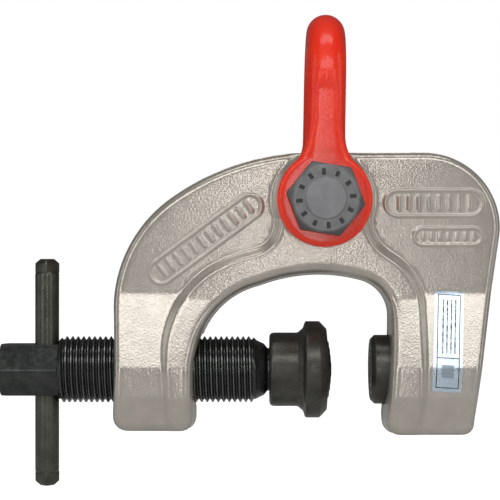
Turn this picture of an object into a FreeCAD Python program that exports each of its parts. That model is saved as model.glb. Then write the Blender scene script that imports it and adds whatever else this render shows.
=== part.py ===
"""Plate lifting clamp: a forged C frame with a screw clamp and a lifting shackle.

Millimetres. Origin at the middle of the fixed jaw's gripping face, X along the clamping screw (the screw
comes in from -X), Z up towards the shackle, Y across the frame's thickness (-Y is the front).
"""
import FreeCAD, Part
import math
import os

Vector = FreeCAD.Vector
doc = FreeCAD.newDocument("plate_lifting_clamp")

# Driving dimensions: alias, value, meaning
SIZES = [
    ("web_half", 8.0, "half thickness of the frame's outer web"),
    ("flange_half", 11.0, "half thickness of the raised flange and boss"),
    ("leg_web_half", 17.0, "half thickness of the legs at the screw, on the web"),
    ("leg_flange_half", 18.8, "half thickness of the legs at the screw, on the flange"),
    ("rim_bevel", 1.6, "bevel of the frame's outer rims"),
    ("frame_top", 78.8, "height of the frame's top edge"),
    ("left_foot", -22.1, "height of the left leg's lower end"),
    ("right_foot", -23.5, "height of the right leg's lower end"),
    ("boss_radius", 17.2, "boss round the shackle hole"),
    ("bolt_x", -17.3, "shackle bolt axis, across"),
    ("bolt_z", 61.2, "shackle bolt axis, height"),
    ("bolt_radius", 7.95, "shackle bolt shank"),
    ("bolt_bore", 8.03, "hole for the shackle bolt"),
    ("bolt_flats", 24.0, "shackle bolt head and nut across flats"),
    ("bolt_head", 10.0, "shackle bolt head height"),
    ("bolt_end", 46.0, "end of the shackle bolt at the back"),
    ("nut_height", 13.0, "shackle nut height"),
    ("washer_radius", 15.0, "plain washer"),
    ("washer_height", 2.5, "plain washer thickness"),
    ("cotter_radius", 1.6, "split pin"),
    ("bow_radius", 6.9, "shackle bar"),
    ("bow_lean", 1.0, "degrees that the shackle leans towards the fixed jaw as it stands"),
    ("bow_half", 19.0, "half distance between the shackle legs' centre lines"),
    ("bow_crown", 121.8, "height of the shackle crown's centre line"),
    ("eye_radius", 16.7, "shackle eye"),
    ("eye_inner", 12.0, "inner face of the shackle eyes"),
    ("eye_outer", 24.0, "outer face of the shackle eyes"),
    ("thread_radius", 12.0, "clamping screw M24x2, major radius"),
    ("thread_pitch", 2.0, "clamping screw pitch"),
    ("thread_depth", 1.15, "clamping screw thread depth"),
    ("thread_bore", 12.07, "frame's hole for the clamping screw"),
    ("hex_flats", 18.5, "clamping screw head across flats"),
    ("bar_radius", 4.35, "sliding handle bar"),
    ("bar_bore", 4.43, "hole for the handle bar"),
    ("bar_length", 82.2, "handle bar length"),
    ("bar_x", -117.35, "handle bar axis"),
    ("bar_middle", -1.0, "handle bar's middle above the screw axis"),
    ("jaw_radius", 12.5, "fixed jaw"),
    ("jaw_seat", 8.5, "fixed jaw thickness down to its seat"),
    ("stem_radius", 6.0, "fixed jaw stem"),
    ("stem_end", 24.0, "end of the fixed jaw's stem"),
    ("pin_radius", 2.0, "spring pin through the fixed jaw's stem"),
    ("pin_x", 17.5, "spring pin axis"),
    ("ball_radius", 4.5, "thrust ball"),
    ("cup_radius", 4.55, "cups that hold the thrust ball"),
    ("ball_x", -27.5, "thrust ball centre"),
    ("ring_x", -32.0, "snap ring centre"),
    ("ring_radius", 8.0, "snap ring centre line"),
    ("ring_wire", 1.5, "snap ring wire radius"),
    ("label_width", 10.4, "foil label width"),
    ("label_length", 35.5, "foil label length"),
    ("label_thick", 0.2, "foil label thickness"),
]

sheet = doc.addObject("Spreadsheet::Sheet", "Sizes")
for row, (alias, value, meaning) in enumerate(SIZES, start=1):
    sheet.set(f"A{row}", meaning)
    sheet.set(f"B{row}", str(value))
    sheet.setAlias(f"B{row}", alias)
doc.recompute()


def size(alias):
    return float(sheet.get(alias))


# Sketch planes: columns are where the sketch's own x, y and normal point
FRONT = FreeCAD.Rotation(Vector(1, 0, 0), Vector(0, 0, 1), Vector(0, -1, 0), "XYZ")
SIDE = FreeCAD.Rotation(Vector(0, 1, 0), Vector(0, 0, 1), Vector(1, 0, 0), "XYZ")
ALONG_X = SIDE
ALONG_Y = FreeCAD.Rotation(Vector(1, 0, 0), Vector(0, 0, -1), Vector(0, 1, 0), "XYZ")
ALONG_Z = FreeCAD.Rotation()


def place(item, base, rotation):
    item.Placement = FreeCAD.Placement(Vector(*base), rotation)
    return item


def bind(item, **expressions):
    """Tie an object's properties to the sheet."""
    for name, expression in expressions.items():
        item.setExpression(name.replace("_", "."), expression)
    return item


def loop_sketch(name, rotation, start, steps, base=(0, 0, 0)):
    """Closed sketch from a start point: a step is an end point, or (via point, end point) for an arc."""
    sketch = doc.addObject("Sketcher::SketchObject", name)
    here = Vector(start[0], start[1], 0)
    for step in steps:
        if isinstance(step[0], tuple):
            via = Vector(*step[0], 0)
            there = Vector(*step[1], 0)
            sketch.addGeometry(Part.Arc(here, via, there), False)
        else:
            there = Vector(*step, 0)
            sketch.addGeometry(Part.LineSegment(here, there), False)
        here = there
    place(sketch, base, rotation)
    return sketch


def extrusion(name, sketch, length, symmetric=True):
    solid = doc.addObject("Part::Extrusion", name)
    solid.Base = sketch
    solid.DirMode = "Normal"
    solid.Solid = True
    solid.Symmetric = symmetric
    solid.setExpression("LengthFwd", length)
    return solid


def revolution(name, sketch, base, axis):
    solid = doc.addObject("Part::Revolution", name)
    solid.Source = sketch
    solid.Base = Vector(*base)
    solid.Axis = Vector(*axis)
    solid.Angle = 360
    solid.Solid = True
    return solid


def cylinder(name, base, rotation, radius, height):
    item = doc.addObject("Part::Cylinder", name)
    place(item, base, rotation)
    return bind(item, Radius=radius, Height=height)


def hexagon(name, base, rotation, flats, height):
    """Hexagonal prism from its size across flats."""
    item = doc.addObject("Part::Prism", name)
    item.Polygon = 6
    place(item, base, rotation)
    return bind(item, Circumradius=f"{flats} / 2 / cos(30 deg)", Height=height)


def fuse(name, *items):
    item = doc.addObject("Part::MultiFuse", name)
    item.Shapes = list(items)
    item.Refine = True
    return item


def common(name, *items):
    item = doc.addObject("Part::MultiCommon", name)
    item.Shapes = list(items)
    return item


def cut(name, base, tool):
    item = doc.addObject("Part::Cut", name)
    item.Base = base
    item.Tool = tool
    return item


finished = []


def finish(item, node):
    """Name a finished sub-part after its node."""
    item.Label = node
    finished.append(item)
    return item


# ---------------------------------------------------------------- frame
LEG_TOP = 27.0       # the legs start to thicken below this height
LEG_FULL = 1.0       # and have their full thickness from here
LEG_FLAT = -9.0      # down to here
LEG_END = -26.0
LEG_END_LOSS = 3.4   # what each side loses again at the very end
BEYOND = 90.0        # clear of the frame on any side


def leg_profile(name, upper, lower):
    """Cross-section of the frame seen along the screw: thin above, thick round the screw."""
    end = lower - LEG_END_LOSS
    right = [(upper, BEYOND), (upper, LEG_TOP), (lower, LEG_FULL), (lower, LEG_FLAT), (end, LEG_END)]
    left = [(-y, z) for y, z in reversed(right)]
    points = right + left
    sketch = loop_sketch(name + "_section", SIDE, points[0], points[1:] + points[:1], (-100, 0, 0))
    solid = doc.addObject("Part::Extrusion", name + "_thickness")
    solid.Base = sketch
    solid.DirMode = "Normal"
    solid.Solid = True
    solid.LengthFwd = 160
    return solid


def outer_rims(shape):
    """Numbers of the edges where the frame's front and back faces meet its outer sides."""
    numbers = []
    for number, edge in enumerate(shape.Edges, start=1):
        middle = edge.valueAt((edge.FirstParameter + edge.LastParameter) / 2)
        in_throat = -66 < middle.x < 10 and middle.z < 36
        tilts = []
        for face in shape.ancestorsOfType(edge, Part.Face):
            tilts.append(abs(face.normalAt(*face.Surface.parameter(middle)).y))
        if not in_throat and min(tilts) < 0.05 and max(tilts) > 0.5:
            numbers.append(number)
    return numbers


def frame():
    top = size("frame_top")
    left = size("left_foot")
    right = size("right_foot")
    outline = loop_sketch("frame_outline", FRONT, (-93.2, 23.7), [
        ((-88.0, 44.0), (-71.2, 63.0)),
        ((-50.5, 73.7), (-26.9, top - 0.2)),
        (18.0, top),
        ((37.6, 72.0), (47.0, 50.0)),
        (37.2, right + 5.5),
        ((36.0, right + 1.5), (31.9, right)),
        (9.5, right),
        ((5.6, right + 1.6), (4.0, right + 5.5)),
        (6.2, 12.5),
        (6.2, 20.0),
        ((3.6, 27.6), (-3.6, 32.4)),
        ((-22.0, 34.3), (-40.0, 30.4)),
        ((-54.0, 22.7), (-61.5, 10.0)),
        (-63.0, 3.0),
        (-63.0, left + 5.0),
        ((-64.3, left + 1.5), (-67.6, left)),
        (-87.5, left),
        ((-91.8, left + 1.8), (-93.4, left + 6.0)),
        (-92.8, 0.0),
        (-93.2, 23.7),
    ])
    plate = extrusion("frame_plate", outline, "2 * Sizes.leg_flange_half + 10")
    web = common("frame_web", plate, leg_profile("web", size("web_half"), size("leg_web_half")))

    doc.recompute()
    rounded = doc.addObject("Part::Chamfer", "frame_rims")
    rounded.Base = web
    bevel = size("rim_bevel")
    rounded.Edges = [(number, bevel, bevel) for number in outer_rims(web.Shape)]

    raised = loop_sketch("flange_outline", FRONT, (-72.3, -40.0), [
        (-73.0, 3.0),
        ((-69.6, 22.0), (-57.4, 35.5)),
        ((-48.0, 40.6), (-38.0, 44.6)),
        (-17.3, 52.0),
        (3.6, 45.6),
        ((14.0, 38.0), (18.2, 28.4)),
        (18.2, -10.0),
        (17.2, -40.0),
        (-72.3, -40.0),
    ])
    flange_plate = extrusion("flange_plate", raised, "2 * Sizes.leg_flange_half + 10")
    flange_side = leg_profile("flange", size("flange_half"), size("leg_flange_half"))
    flange = common("frame_flange", plate, flange_plate, flange_side)
    boss = cylinder("frame_boss", (size("bolt_x"), -size("flange_half"), size("bolt_z")), ALONG_Y,
                    "Sizes.boss_radius", "2 * Sizes.flange_half")
    body = fuse("frame_forging", rounded, flange, boss)

    bolt_hole = cylinder("bolt_hole", (size("bolt_x"), -40, size("bolt_z")), ALONG_Y,
                         "Sizes.bolt_bore", "80")
    screw_hole = cylinder("screw_hole", (-110, 0, 0), ALONG_X, "Sizes.thread_bore", "60")
    jaw_hole = cylinder("jaw_hole", (-10, 0, 0), ALONG_X, "Sizes.jaw_radius + 0.4",
                        "10 + Sizes.jaw_seat")
    stem_hole = cylinder("stem_hole", (0, 0, 0), ALONG_X, "Sizes.stem_radius", "Sizes.stem_end + 0.5")
    pin_hole = cylinder("pin_hole", (size("pin_x"), 0, right - 5), ALONG_Z, "Sizes.pin_radius",
                        "5 - Sizes.right_foot + Sizes.stem_radius + 3")
    holes = fuse("frame_holes", bolt_hole, screw_hole, jaw_hole, stem_hole, pin_hole)
    finish(cut("frame_body", body, holes), "frame")


# ---------------------------------------------------------------- fixed jaw and its pin
def jaw_teeth(face, radii, depth, slope):
    """V grooves cut into a face at the given radii, as profile points from the rim inwards."""
    points = []
    for radius in radii:
        points += [(face(radius + slope), radius + slope), (face(radius) + depth, radius),
                   (face(radius - slope), radius - slope)]
    return points


def fixed_jaw():
    seat = size("jaw_seat")
    radius = size("jaw_radius")
    stem = size("stem_radius")
    end = size("stem_end")
    rim = 1.5
    grooves = jaw_teeth(lambda r: 0.0, (9.6, 7.2, 4.8, 2.4), 0.8, 0.7)
    points = [(seat, radius), (rim, radius), (0, radius - rim)] + grooves
    points += [(0, 0), (end, 0), (end, stem - 1), (end - 1, stem), (seat, stem)]
    profile = loop_sketch("fixed_jaw_profile", FRONT, points[0], points[1:] + points[:1])
    blank = revolution("fixed_jaw_blank", profile, (0, 0, 0), (1, 0, 0))
    hole = cylinder("fixed_jaw_hole", (size("pin_x"), 0, -20), ALONG_Z, "Sizes.pin_radius", "40")
    finish(cut("fixed_jaw_body", blank, hole), "fixed_jaw")

    foot = size("right_foot")
    pin = cylinder("spring_pin", (size("pin_x"), 0, foot + 1.0), ALONG_Z, "Sizes.pin_radius",
                   "-Sizes.right_foot - 1 + Sizes.stem_radius + 2")
    bore = cylinder("spring_pin_bore", (size("pin_x"), 0, foot - 5), ALONG_Z,
                    "Sizes.pin_radius / 2", "60")
    finish(cut("spring_pin_body", pin, bore), "fixed_jaw_pin")


# ---------------------------------------------------------------- clamping screw
HEX_START = -134.1
HEX_END = -113.3
THREAD_START = -112.7
THREAD_END = -41.2


def thread_groove():
    """Helical cutter for the clamping screw's thread, run out past both ends."""
    major = size("thread_radius")
    root = major - size("thread_depth")
    pitch = size("thread_pitch")
    over = 0.3
    length = THREAD_END - THREAD_START + 0.75 * pitch
    helix = Part.makeHelix(pitch, length, root)
    section = Part.makePolygon([
        Vector(major + over, 0, -0.475 * pitch), Vector(root, 0, -0.06 * pitch),
        Vector(root, 0, 0.06 * pitch), Vector(major + over, 0, 0.475 * pitch),
        Vector(major + over, 0, -0.475 * pitch)])
    groove = doc.addObject("Part::Feature", "thread_groove")
    groove.Shape = Part.Wire(helix.Edges).makePipeShell([section], True, True)
    place(groove, (THREAD_START - 0.5 * pitch, 0, 0), ALONG_X)
    return groove


def thread_volume():
    """Steel that the thread's groove takes away, from its section and its length."""
    depth = size("thread_depth")
    section = depth * size("thread_pitch") * (0.12 + 0.83 * depth / (depth + 0.3)) / 2 + depth * 0.06
    turns = (THREAD_END - THREAD_START) / size("thread_pitch")
    return section * turns * 2 * math.pi * (size("thread_radius") - depth / 2)


def screw():
    major = size("thread_radius")
    root = major - size("thread_depth")
    ring_x = size("ring_x")
    wire = size("ring_wire")
    neck = 7.75
    stub = 7.3
    groove = size("ring_radius") - wire - 0.05
    tip = size("ball_x") - 0.8
    half_flats = size("hex_flats") / 2

    blank = cylinder("screw_thread_blank", (THREAD_START, 0, 0), ALONG_X, "Sizes.thread_radius",
                     str(THREAD_END - THREAD_START))
    threaded = cut("screw_thread", blank, thread_groove())

    tail_profile = loop_sketch("screw_tail_profile", FRONT, (THREAD_END - 3, 0), [
        (THREAD_END - 3, root - 0.8), (THREAD_END, root - 0.8), (THREAD_END, root - 0.1),
        (-38.4, 9.3), (-37.2, neck),
        (-35.2, neck), (-34.6, stub), (ring_x - wire - 0.1, stub), (ring_x - wire - 0.1, groove),
        (ring_x + wire + 0.1, groove), (ring_x + wire + 0.1, stub), (tip - 0.8, stub),
        (tip, stub - 0.8), (tip, 0), (THREAD_END - 3, 0)])
    tail = revolution("screw_tail", tail_profile, (0, 0, 0), (1, 0, 0))

    hexagon_bar = hexagon("screw_hexagon", (HEX_START, 0, 0), ALONG_X, "Sizes.hex_flats",
                          str(THREAD_START + 3 - HEX_START))
    round_profile = loop_sketch("screw_hexagon_rounding", FRONT, (HEX_START, 0), [
        (HEX_START, half_flats - 0.7), (HEX_START + 2.4, half_flats + 1.5),
        (HEX_END, half_flats + 1.5), (HEX_END, half_flats - 0.3),
        (THREAD_START + 3, half_flats - 0.3), (THREAD_START + 3, 0), (HEX_START, 0)])
    rounding = revolution("screw_hexagon_envelope", round_profile, (0, 0, 0), (1, 0, 0))
    head = common("screw_head", hexagon_bar, rounding)

    whole = fuse("screw_whole", threaded, tail, head)
    bar_hole = cylinder("bar_hole", (size("bar_x"), 0, -20), ALONG_Z, "Sizes.bar_bore", "40")
    ball_cup = doc.addObject("Part::Sphere", "screw_cup")
    place(ball_cup, (size("ball_x"), 0, 0), ALONG_Z)
    bind(ball_cup, Radius="Sizes.cup_radius")
    finish(cut("screw_body", whole, fuse("screw_holes", bar_hole, ball_cup)), "screw")
    doc.recompute()
    if blank.Shape.Volume - threaded.Shape.Volume < 0.9 * thread_volume():
        raise RuntimeError("the thread was not cut")


def handle_bar():
    half = size("bar_length") / 2
    radius = size("bar_radius")
    bevel = 1.6
    stake = 5.5
    middle = size("bar_middle")
    profile = loop_sketch("bar_profile", FRONT, (0, -half), [
        (radius - bevel, -half), (radius, bevel - half), (radius, half - bevel),
        (radius - bevel, half), (0, half), (0, -half)], (0, 0, middle))
    rod = revolution("bar_rod", profile, (0, 0, 0), (0, 0, 1))
    place(rod, (size("bar_x"), 0, 0), ALONG_Z)
    # The staked ends are four-sided, with corners that stand proud of the rod so it can't drop out
    ends = []
    for side, low in (("upper", half - stake), ("lower", -half + bevel)):
        prism = doc.addObject("Part::Prism", f"bar_{side}_stake")
        prism.Polygon = 4
        prism.Circumradius = radius + 0.2
        prism.Height = stake - bevel
        place(prism, (size("bar_x"), 0, middle + low), FreeCAD.Rotation(Vector(0, 0, 1), 90))
        ends.append(prism)
    finish(fuse("bar_body", rod, *ends), "handle_bar")


# ---------------------------------------------------------------- swivel jaw, ball and ring
def swivel_jaw():
    ring_x = size("ring_x")
    mouth = 9.2
    groove = 10.3
    groove_half = 2.75
    floor = size("ball_x") + 0.3
    rear = -36.6
    dome = [(-15.8, 14.7), (-16.9, 13.4), (-15.6, 12.2), (-16.3, 11.0), (-15.0, 10.0), (-15.8, 8.8),
            (-14.6, 7.7), (-15.5, 6.4), (-14.3, 5.2), (-15.2, 4.0), (-14.1, 2.8)]
    points = [(rear, mouth + 0.6), (rear, 11.6), (rear + 0.6, 12.8), (rear + 1.8, 13.35), (-27.4, 13.35)]
    profile = loop_sketch("swivel_profile", FRONT, points[0], points[1:] + [
        ((-25.2, 14.4), (-24.2, 17.0)), (-23.6, 17.5), (-18.5, 17.5)] + dome + [
        (-14.1, 0), (floor, 0), (floor, mouth), (ring_x + groove_half, mouth),
        (ring_x + groove_half, groove), (ring_x - groove_half, groove),
        (ring_x - groove_half, mouth), (rear + 0.6, mouth), points[0]])
    blank = revolution("swivel_blank", profile, (0, 0, 0), (1, 0, 0))
    cup = doc.addObject("Part::Sphere", "swivel_cup")
    place(cup, (size("ball_x"), 0, 0), ALONG_Z)
    bind(cup, Radius="Sizes.cup_radius")
    finish(cut("swivel_body", blank, cup), "swivel_jaw")


def thrust_ball():
    ball = doc.addObject("Part::Sphere", "ball")
    place(ball, (size("ball_x"), 0, 0), ALONG_Z)
    finish(bind(ball, Radius="Sizes.ball_radius"), "thrust_ball")


def snap_ring():
    wire = doc.addObject("Part::Torus", "ring_wire")
    place(wire, (size("ring_x"), 0, 0), ALONG_X)
    bind(wire, Radius1="Sizes.ring_radius", Radius2="Sizes.ring_wire")
    gap = doc.addObject("Part::Box", "ring_gap")
    gap.Length = 6
    gap.Width = 2.5
    gap.Height = 12
    place(gap, (size("ring_x") - 3, -1.25, 2), ALONG_Z)
    finish(cut("ring_body", wire, gap), "snap_ring")


# ---------------------------------------------------------------- shackle and its bolt
def shackle():
    x = size("bolt_x")
    z = size("bolt_z")
    half = size("bow_half")
    spring_line = size("bow_crown") - half
    eye = size("eye_radius")
    radius = size("bow_radius")

    crown = doc.addObject("Part::Torus", "shackle_crown_ring")
    place(crown, (x, 0, spring_line), ALONG_X)
    bind(crown, Radius1="Sizes.bow_half", Radius2="Sizes.bow_radius")
    above = doc.addObject("Part::Box", "shackle_crown_half")
    above.Length = 40
    above.Width = 80
    above.Height = 40
    place(above, (x - 20, -40, spring_line), ALONG_Z)
    bow = [common("shackle_crown", crown, above)]

    # Each leg flattens and widens into its eye through a hollow curve that touches the bar and the eye
    flare_top = 22.5
    hollow = (flare_top ** 2 + radius ** 2 - eye ** 2) / 2 / (eye - radius)
    slope = math.atan2(flare_top, radius + hollow)
    touch = (eye * math.cos(slope), eye * math.sin(slope))
    middle = math.pi + slope / 2
    via = (radius + hollow + hollow * math.cos(middle), flare_top + hollow * math.sin(middle))
    leg_start = size("washer_radius") + 1.5
    for side, sign in (("front", -1), ("back", 1)):
        bow.append(cylinder(f"shackle_{side}_leg", (x, sign * half, z + leg_start), ALONG_Z,
                            "Sizes.bow_radius", f"{spring_line - z - leg_start}"))
        inner = size("eye_inner") if sign > 0 else -size("eye_outer")
        bow.append(cylinder(f"shackle_{side}_eye", (x, inner, z), ALONG_Y, "Sizes.eye_radius",
                            "Sizes.eye_outer - Sizes.eye_inner"))
        neck = loop_sketch(f"shackle_{side}_neck_outline", FRONT, (x - touch[0], z + touch[1]), [
            (x + touch[0], z + touch[1]),
            ((x + via[0], z + via[1]), (x + radius, z + flare_top)),
            (x - radius, z + flare_top),
            ((x - via[0], z + via[1]), (x - touch[0], z + touch[1]))],
            (0, sign * (size("eye_inner") + size("eye_outer")) / 2, 0))
        bow.append(extrusion(f"shackle_{side}_neck", neck, "Sizes.eye_outer - Sizes.eye_inner"))
    body = fuse("shackle_forging", *bow)
    hole = cylinder("shackle_hole", (x, -40, z), ALONG_Y, "Sizes.bolt_radius + 0.05", "80")
    whole = cut("shackle_body", body, hole)
    lean = FreeCAD.Rotation(Vector(0, 1, 0), size("bow_lean"))
    pivot = Vector(x, 0, z)
    whole.Placement = FreeCAD.Placement(pivot - lean.multVec(pivot), lean)
    finish(whole, "shackle")


def chamfered_hexagon(name, y, rotation, height, bevel_ends):
    """Hexagon along Y with its corners turned off at the ends named in bevel_ends."""
    x = size("bolt_x")
    z = size("bolt_z")
    circle = size("bolt_flats") / 2
    corner = circle / math.cos(math.radians(30))
    bevel = (corner - circle) * math.tan(math.radians(28)) + 0.15
    prism = hexagon(name + "_prism", (x, y, z), rotation, "Sizes.bolt_flats", str(height))
    start = [(0, 0), (circle - 0.1, 0), (corner + 0.2, bevel)] if "start" in bevel_ends else [
        (0, 0), (corner + 0.2, 0)]
    end = [(corner + 0.2, height - bevel), (circle - 0.1, height), (0, height)] \
        if "end" in bevel_ends else [(corner + 0.2, height), (0, height)]
    points = start + end
    profile = loop_sketch(name + "_profile", ALONG_Z, points[0], points[1:] + points[:1])
    turned = revolution(name + "_envelope", profile, (0, 0, 0), (0, 1, 0))
    place(turned, (x, y, z), ALONG_Z)
    return common(name + "_hexagon", prism, turned)


def shackle_bolt():
    x = size("bolt_x")
    z = size("bolt_z")
    under = -size("eye_outer")
    end = size("bolt_end")
    radius = size("bolt_radius")
    head_height = size("bolt_head")
    turned = FreeCAD.Rotation(Vector(0, 1, 0), 9.4).multiply(ALONG_Y)
    head = chamfered_hexagon("bolt_head", under - head_height, turned, head_height, ("start",))
    profile = loop_sketch("bolt_shank_profile", ALONG_Z, (0, under - 1), [
        (radius, under - 1), (radius, end - 1.5), (radius - 1.3, end), (0, end), (0, under - 1)])
    shank = revolution("bolt_shank", profile, (0, 0, 0), (0, 1, 0))
    place(shank, (x, 0, z), ALONG_Z)
    cross = cylinder("bolt_cross_hole", (x, pin_y(), z - 20), ALONG_Z,
                     "Sizes.cotter_radius + 0.05", "40")
    finish(cut("bolt_body", fuse("bolt_whole", head, shank), cross), "shackle_bolt")

    washer = cylinder("washer_disc", (x, size("eye_outer"), z), ALONG_Y, "Sizes.washer_radius",
                      "Sizes.washer_height")
    washer_hole = cylinder("washer_hole", (x, 0, z), ALONG_Y, "Sizes.bolt_radius + 0.05", "60")
    finish(cut("washer_body", washer, washer_hole), "shackle_washer")

    seat = size("eye_outer") + size("washer_height")
    nut = chamfered_hexagon("nut", seat, FreeCAD.Rotation(Vector(0, 1, 0), 22).multiply(ALONG_Y),
                            size("nut_height"), ("end",))
    nut_hole = cylinder("nut_hole", (x, 0, z), ALONG_Y, "Sizes.bolt_radius", "60")
    finish(cut("nut_body", nut, nut_hole), "shackle_nut")


def pin_y():
    """The split pin's place along the bolt, just outside the nut."""
    return size("eye_outer") + size("washer_height") + size("nut_height") + 3.0


def split_pin():
    """Eye at the top, a straight stem through the bolt, and two legs bent apart below it."""
    x = size("bolt_x")
    z = size("bolt_z")
    radius = size("cotter_radius")
    y = pin_y()
    below = 10.5
    stem = cylinder("cotter_stem", (x, y, z - below), ALONG_Z, "Sizes.cotter_radius", "2 * 10.5")
    eye = doc.addObject("Part::Torus", "cotter_eye")
    eye.Radius1 = 2.4
    eye.Radius2 = 1.3
    place(eye, (x, y, z + below + 1.8), ALONG_Y)
    legs = []
    for side, angle in (("left", -48), ("right", 48)):
        leg = doc.addObject("Part::Cylinder", f"cotter_{side}_leg")
        leg.Radius = radius * 0.72
        leg.Height = 8
        leg.Placement = FreeCAD.Placement(Vector(x, y, z - below + 0.9),
                                          FreeCAD.Rotation(Vector(0, 1, 0), 180 - angle))
        legs.append(leg)
    finish(fuse("cotter_body", stem, eye, *legs), "split_pin")


# ---------------------------------------------------------------- label
def label():
    """Thin foil that lies on the right leg's web, over the tilted facet and the flat below it."""
    thick = size("label_thick")
    upper = size("web_half")
    lower = size("leg_web_half")
    slope = math.atan2(lower - upper, LEG_TOP - LEG_FULL)
    lift = thick / math.cos(slope)
    inner = [(-upper, LEG_TOP + 4), (-upper, LEG_TOP), (-lower, LEG_FULL), (-lower, LEG_FLAT)]
    outer = [(-lower - thick, LEG_FLAT), (-lower - thick, LEG_FULL + thick * slope / 2),
             (-upper - thick, LEG_TOP + (lift - thick) / math.tan(slope)), (-upper - thick, LEG_TOP + 4)]
    points = inner + outer
    section = loop_sketch("label_section", SIDE, points[0], points[1:] + points[:1], (10, 0, 0))
    strip = doc.addObject("Part::Extrusion", "label_strip")
    strip.Base = section
    strip.DirMode = "Normal"
    strip.Solid = True
    strip.LengthFwd = 40
    box = doc.addObject("Part::Box", "label_cutter")
    bind(box, Length="Sizes.label_width", Height="Sizes.label_length")
    box.Width = 40
    half = Vector(size("label_width") / 2, 20, size("label_length") / 2)
    tilt = FreeCAD.Rotation(Vector(0, 1, 0), 3.2)
    box.Placement = FreeCAD.Placement(Vector(27.0, -20, 10.8) - tilt.multVec(half), tilt)
    finish(common("label_body", strip, box), "label")


frame()
fixed_jaw()
screw()
handle_bar()
thrust_ball()
snap_ring()
swivel_jaw()
shackle()
shackle_bolt()
split_pin()
label()
doc.recompute()

for item in doc.Objects:
    if "Invalid" in item.State or "Error" in item.State:
        raise RuntimeError(f"{item.Name} failed: {item.State}")
for item in finished:
    if item.Shape.isNull() or not item.Shape.isValid() or len(item.Shape.Solids) != 1:
        raise RuntimeError(f"{item.Label} is not one valid solid")

os.makedirs("parts", exist_ok=True)
for item in finished:
    item.Shape.exportStep(f"parts/{item.Label}.step")
    print(f"{item.Label}: {item.Shape.Volume / 1000:.2f} cm3")
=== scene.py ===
"""Plate lifting clamp: detailed meshes, materials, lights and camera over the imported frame.

Shapes are in millimetres and become metres in new_object. Lights, camera and noise are in metres.
Origin at the middle of the fixed jaw's face, X along the screw, Z up, -Y is the front.
"""
import math

import bmesh
import bpy
import numpy as np
from mathutils import Euler, Matrix, Vector, geometry


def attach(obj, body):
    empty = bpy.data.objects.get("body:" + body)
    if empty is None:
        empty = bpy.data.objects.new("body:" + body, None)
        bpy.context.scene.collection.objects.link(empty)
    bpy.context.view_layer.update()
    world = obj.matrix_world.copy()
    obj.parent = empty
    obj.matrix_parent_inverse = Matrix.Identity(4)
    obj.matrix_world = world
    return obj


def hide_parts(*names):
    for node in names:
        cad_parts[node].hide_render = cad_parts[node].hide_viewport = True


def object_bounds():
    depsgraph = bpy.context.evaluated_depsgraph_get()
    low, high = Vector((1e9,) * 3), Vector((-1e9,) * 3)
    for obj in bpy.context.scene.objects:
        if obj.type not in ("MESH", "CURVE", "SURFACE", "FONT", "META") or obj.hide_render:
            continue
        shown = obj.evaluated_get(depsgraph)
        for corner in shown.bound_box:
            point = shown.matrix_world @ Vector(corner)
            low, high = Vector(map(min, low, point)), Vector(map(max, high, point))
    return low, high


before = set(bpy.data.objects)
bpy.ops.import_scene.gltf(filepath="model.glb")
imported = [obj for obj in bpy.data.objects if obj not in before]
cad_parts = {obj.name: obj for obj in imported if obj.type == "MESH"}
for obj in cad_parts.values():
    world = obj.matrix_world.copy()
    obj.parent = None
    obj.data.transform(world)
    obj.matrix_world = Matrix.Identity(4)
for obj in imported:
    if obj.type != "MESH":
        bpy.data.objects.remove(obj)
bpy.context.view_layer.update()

MM = 0.001

# Sizes that several pieces use, most of them the part's own
WEB_HALF, FLANGE_HALF = 8.0, 11.0
LEG_WEB_HALF, LEG_FLANGE_HALF = 17.0, 18.8
LEG_TOP, LEG_FULL, LEG_FLAT, LEG_END, LEG_END_LOSS = 27.0, 1.0, -9.0, -26.0, 3.4
WEB_TOP = LEG_TOP + 1.7
FRAME_TOP, LEFT_FOOT, RIGHT_FOOT = 78.8, -22.1, -23.5
BOLT_X, BOLT_Z, BOLT_RADIUS, BOLT_FLATS, HEAD_HEIGHT = -17.3, 61.2, 8.0, 24.0, 9.4
EYE_INNER, EYE_OUTER, EYE_RADIUS = 12.0, 24.0, 16.7
WASHER_END = EYE_OUTER + 2.5
BOW_RADIUS, BOW_HALF, BOW_CROWN, BOW_LEAN = 6.9, 19.0, 121.8, 1.0
HEX_START, HEX_END = -134.1, -113.3
THREAD_START, THREAD_END = -112.7, -41.2
THREAD_RADIUS, THREAD_PITCH, THREAD_DEPTH = 12.0, 2.0, 1.15
BALL_X, RING_X = -27.5, -32.0
SEAT_FLOOR, STEM_RADIUS, STEM_END = 8.5, 6.0, 24.0
BAR_X, BAR_MIDDLE, BAR_HALF, BAR_RADIUS, STAKE = -117.35, -1.0, 41.1, 4.35, 5.5


# -------------------- mesh helpers
def new_object(name, verts, faces, body=None, cad_node=None, slot=None, sharp=35.0):
    """A smooth-shaded mesh piece from points in millimetres, riding on a body if one is named."""
    mesh = bpy.data.meshes.new(name)
    mesh.from_pydata([Vector(v) * MM for v in verts], [], faces)
    mesh.validate()
    work = bmesh.new()
    work.from_mesh(mesh)
    bmesh.ops.remove_doubles(work, verts=work.verts, dist=1e-6)
    bmesh.ops.recalc_face_normals(work, faces=work.faces)
    work.to_mesh(mesh)
    work.free()
    piece = bpy.data.objects.new(name, mesh)
    bpy.context.scene.collection.objects.link(piece)
    shade(piece, sharp)
    if body:
        adopt(piece, body, cad_node)
    return piece


def adopt(piece, body, cad_node):
    """Tie a piece to its body and to the CAD node that it stands for."""
    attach(piece, body)
    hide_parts(cad_node)


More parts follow.
